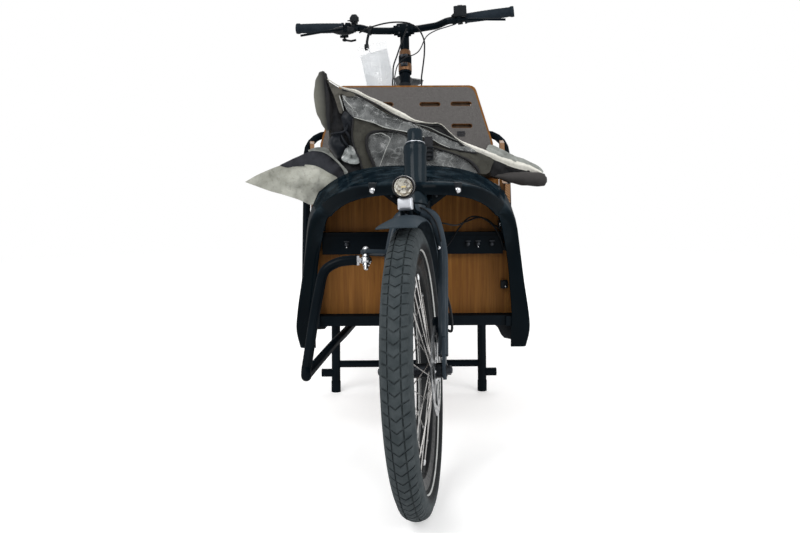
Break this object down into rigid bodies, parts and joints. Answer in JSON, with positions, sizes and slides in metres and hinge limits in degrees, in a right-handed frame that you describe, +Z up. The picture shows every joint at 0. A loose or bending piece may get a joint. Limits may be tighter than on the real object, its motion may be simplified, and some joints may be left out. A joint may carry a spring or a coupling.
{
  "type": "electric cargo bike",
  "caption": "Two-wheeled electric cargo bike with a wooden box ahead of the rider, a moulded front hood, linkage steering, a centre stand and a folded rain cover.",
  "frame": {"origin": "on the ground under the middle of the bike's length, in its upright plane", "axes": "+Z is up, -Y is the way the bike faces, and +X is the rider's left"},
  "size_m": [0.7397, 2.5731, 1.125],
  "materials": {
    "bell": "dark chrome",
    "black_paint": "semi-gloss powder coat",
    "black_plastic": "matte",
    "button": "matte",
    "canvas": "coated cloth, matte",
    "dark_gloss": "glossy lacquer",
    "grey_board": "grey coated board",
    "lens": "clear",
    "rubber": "matte",
    "saddle": "smooth cover",
    "seat_fabric": "woven cover",
    "steel": "bright",
    "tyre": "matte",
    "wood": "clear varnish on dark film-faced plywood"
  },
  "bodies": {
    "frame": {"backrest": "grey_board", "battery": "black_plastic", "bench_seat": "seat_fabric", "chain": "steel", "chain_guard": "black_plastic", "chain_stays": "black_paint", "column_tube": "black_paint", "floor_board": "wood", "floor_crossbar_front": "black_paint", "front_arch": "dark_gloss", "front_cable_loop": "rubber", "front_panel": "wood", "main_frame": "black_paint", "mid_cross_bar": "black_paint", "motor_unit": "black_plastic", "rain_cover": "canvas", "rain_cover_flap": "canvas", "rear_arch": "black_paint", "rear_fender": "black_plastic", "rear_panel": "wood", "rear_rack": "black_paint", "seat_stays": "black_paint", "seat_tube": "black_paint", "side_panel_left": "wood", "side_panel_right": "wood", "stand_crossbar": "black_paint"},
    "fork": {"fork": "black_paint", "front_brake_hose": "rubber", "front_caliper": "black_paint", "front_fender": "black_paint", "headlight_lens": "lens", "headlight_shell": "black_plastic", "lamp_bracket": "steel"},
    "front_wheel": {"front_rotor": "steel", "front_tyre": "tyre", "front_wheel": "steel"},
    "tie_rod": {"rod_end": "steel", "tie_rod": "black_paint"},
    "handlebars": {"bar_cables": "rubber", "bell": "bell", "display": "black_plastic", "grip_left": "rubber", "grip_right": "rubber", "handlebar": "black_paint", "lever_mount_left": "black_paint", "lever_mount_right": "black_paint", "steering_column": "black_paint"},
    "brake_lever_left": {"brake_lever_left": "black_paint"},
    "brake_lever_right": {"brake_lever_right": "black_paint"},
    "shift_lever": {"shift_lever": "black_plastic"},
    "bell_lever": {"bell_lever": "black_plastic"},
    "display_button": {"display_button": "button"},
    "stand": {"centre_stand": "black_paint"},
    "rear_wheel": {"rear_tyre": "tyre", "rear_wheel": "steel"},
    "crank": {"crankset": "black_paint"},
    "pedal_left": {"pedal_left": "black_plastic"},
    "pedal_right": {"pedal_right": "black_plastic"},
    "seat": {"saddle": "saddle", "seat_post": "black_paint"}
  },
  "joints": [
    {"name": "fork_steer", "type": "hinge", "parent": "frame", "child": "fork", "pos_m": [0, -0.85934, 0.6035], "axis": [0, 0.342, 0.9397], "range_deg": [-26, 41]},
    {"name": "handlebar_steer", "type": "hinge", "parent": "frame", "child": "handlebars", "pos_m": [0, 0.19466, 0.62], "axis": [0, 0.342, 0.9397], "range_deg": [-26, 41]},
    {"name": "tie_rod_turn", "type": "hinge", "parent": "fork", "child": "tie_rod", "pos_m": [-0.09471, -0.92395, 0.44803], "axis": [0, 0.342, 0.9397], "range_deg": [-41, 26]},
    {"name": "front_wheel_spin", "type": "hinge", "parent": "fork", "child": "front_wheel", "pos_m": [-0.00631, -1.02855, 0.25984], "axis": [0.9886, -0.1413, 0.0514], "continuous": true},
    {"name": "rear_wheel_spin", "type": "hinge", "parent": "frame", "child": "rear_wheel", "pos_m": [0, 0.931, 0.335], "axis": [1, 0, 0], "continuous": true},
    {"name": "crank_spin", "type": "hinge", "parent": "frame", "child": "crank", "pos_m": [0, 0.491, 0.288], "axis": [1, 0, 0], "continuous": true},
    {"name": "pedal_left_spin", "type": "hinge", "parent": "crank", "child": "pedal_left", "pos_m": [0, 0.321, 0.288], "axis": [1, 0, 0], "continuous": true},
    {"name": "pedal_right_spin", "type": "hinge", "parent": "crank", "child": "pedal_right", "pos_m": [0, 0.661, 0.288], "axis": [1, 0, 0], "continuous": true},
    {"name": "brake_lever_left", "type": "hinge", "parent": "handlebars", "child": "brake_lever_left", "pos_m": [0.16693, 0.25434, 1.07497], "axis": [-0.0514, 0.0037, 0.9987], "range_deg": [0, 18], "stiffness_Nm_per_rad": 2, "springref_deg": -5.73},
    {"name": "brake_lever_right", "type": "hinge", "parent": "handlebars", "child": "brake_lever_right", "pos_m": [-0.18898, 0.30522, 1.05646], "axis": [0.0514, -0.0037, -0.9987], "range_deg": [0, 18], "stiffness_Nm_per_rad": 2, "springref_deg": -5.73},
    {"name": "shift_lever", "type": "hinge", "parent": "handlebars", "child": "shift_lever", "pos_m": [-0.19418, 0.37673, 1.04191], "axis": [0, 0.342, 0.9397], "range_deg": [0, 20], "stiffness_Nm_per_rad": 0.3, "springref_deg": -5.73},
    {"name": "bell_lever", "type": "hinge", "parent": "handlebars", "child": "bell_lever", "pos_m": [-0.16436, 0.33241, 1.08566], "axis": [0.0514, -0.0037, -0.9987], "range_deg": [0, 20], "stiffness_Nm_per_rad": 0.05, "springref_deg": -5.73},
    {"name": "display_button", "type": "slide", "parent": "handlebars", "child": "display_button", "axis": [0.0514, -0.0037, -0.9987], "range_m": [0, 0.0012], "stiffness_N_per_m": 800, "springref_m": -0.0005},
    {"name": "stand_fold", "type": "hinge", "parent": "frame", "child": "stand", "pos_m": [0, -0.099, 0.285], "axis": [1, 0, 0], "range_deg": [0, 70]},
    {"name": "seat_post_slide", "type": "slide", "parent": "frame", "child": "seat", "axis": [0, 0.3746, 0.9272], "range_m": [-0.1, 0.06]}
  ],
  "couplings": [
    {"joint": "handlebar_steer", "follows": "fork_steer", "ratio": 1},
    {"joint": "tie_rod_turn", "follows": "fork_steer", "ratio": -1}
  ]
}
